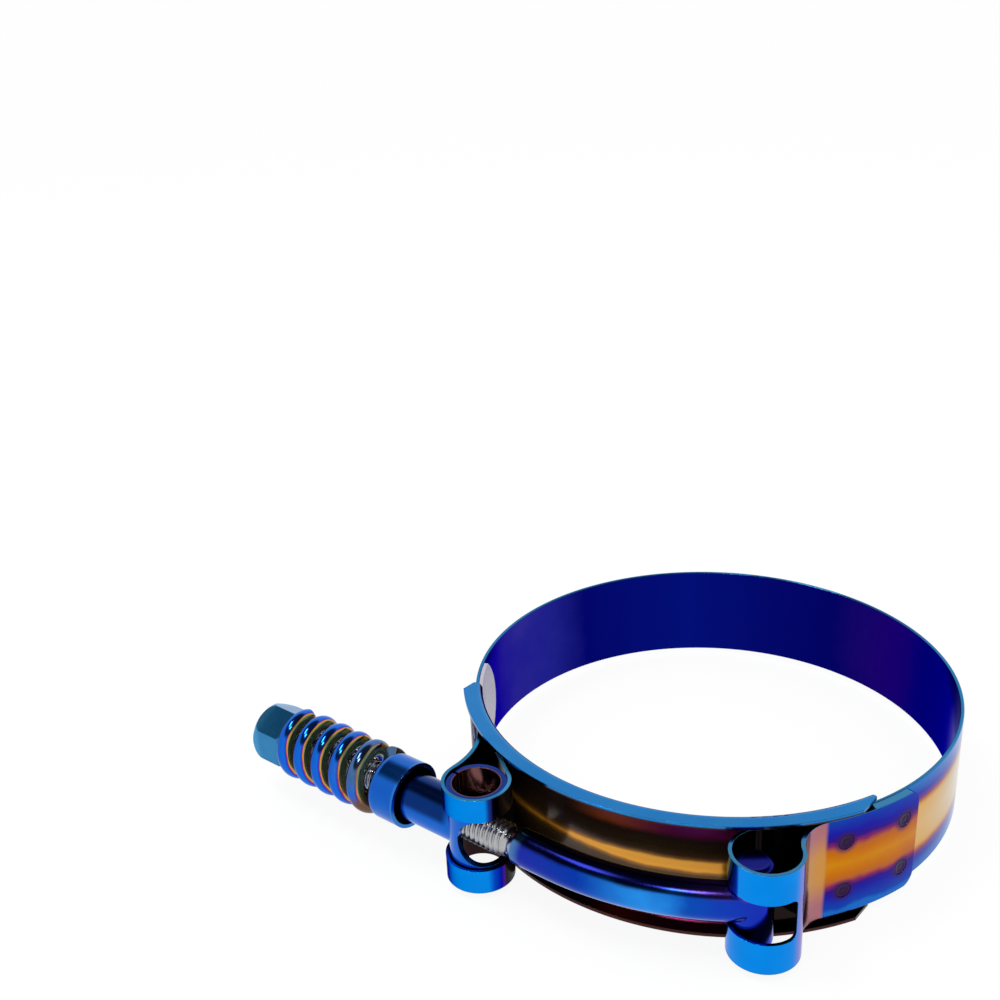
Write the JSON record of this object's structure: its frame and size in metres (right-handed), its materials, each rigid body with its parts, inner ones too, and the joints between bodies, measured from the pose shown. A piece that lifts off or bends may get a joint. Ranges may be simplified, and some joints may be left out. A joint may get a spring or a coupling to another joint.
{
  "type": "t bolt clamp",
  "caption": "Spring-loaded T-bolt hose clamp: wide steel band with folded loop ends, bridge plate, curved T-bolt, trunnion, coil spring and lock nut that draw the band tight",
  "frame": {"origin": "centre of the clamp's bore, at half the width of the band", "axes": "+Z is the bore's axis; the fixed loop stands on -Y and the free loop, trunnion, spring and nut lie towards -X"},
  "size_m": [0.1279, 0.0982, 0.021],
  "materials": {
    "tinted_band": "polished stainless strip, heat-tinted blue with a straw stripe along its middle",
    "tinted_bridge": "polished stainless sheet, heat-tinted azure on the flanges and brown on the web",
    "tinted_loop": "polished stainless strip, heat-tinted bright azure fading to purple and straw",
    "tinted_bolt": "smooth steel, heat-tinted dark blue, bare silver thread",
    "tinted_trunnion": "smooth drawn steel, heat-tinted deep blue",
    "tinted_cup": "smooth drawn steel, heat-tinted blue",
    "tinted_spring": "round spring wire, heat-tinted blue, purple and straw",
    "tinted_nut": "machined steel, heat-tinted steel blue",
    "insert_nylon": "dark moulded ring"
  },
  "bodies": {
    "root": {"band": "tinted_band", "bridge_plate": "tinted_bridge", "fixed_loop": "tinted_loop"},
    "free_end": {"free_loop": "tinted_loop"},
    "trunnion": {"trunnion": "tinted_trunnion", "spring_cup": "tinted_cup"},
    "t_bolt": {"t_bolt": "tinted_bolt"},
    "spring": {"spring": "tinted_spring"},
    "nut": {"lock_nut": "tinted_nut", "nut_insert": "insert_nylon"}
  },
  "joints": [
    {"name": "band_close", "type": "hinge", "parent": "root", "child": "free_end", "pos_m": [0, 0, 0], "axis": [0, 0, 1], "range_deg": [0, 25], "deforming": ["band"]},
    {"name": "trunnion_swing", "type": "hinge", "parent": "free_end", "child": "trunnion", "pos_m": [-0.04304, -0.02838, 0], "axis": [0, 0, 1], "range_deg": [-19.5, 0]},
    {"name": "bolt_swing", "type": "hinge", "parent": "root", "child": "t_bolt", "pos_m": [-0.0018, -0.04925, 0], "axis": [0, 0, 1], "range_deg": [0, 5.5]},
    {"name": "nut_travel", "type": "slide", "parent": "t_bolt", "child": "spring", "axis": [0.7711, -0.6367, 0], "range_m": [0, 0.026], "deforming": ["spring"]},
    {"name": "nut_spin", "type": "hinge", "parent": "spring", "child": "nut", "pos_m": [-0.04304, -0.02838, 0], "axis": [0.7711, -0.6367, 0], "range_deg": [0, 9360]}
  ],
  "couplings": [
    {"joint": "nut_spin", "follows": "nut_travel", "rad_per_m": 6283.2},
    {"joint": "band_close", "follows": "nut_travel", "rad_per_m": 16.782},
    {"joint": "bolt_swing", "follows": "nut_travel", "rad_per_m": 3.692},
    {"joint": "trunnion_swing", "follows": "nut_travel", "rad_per_m": -13.09}
  ]
}
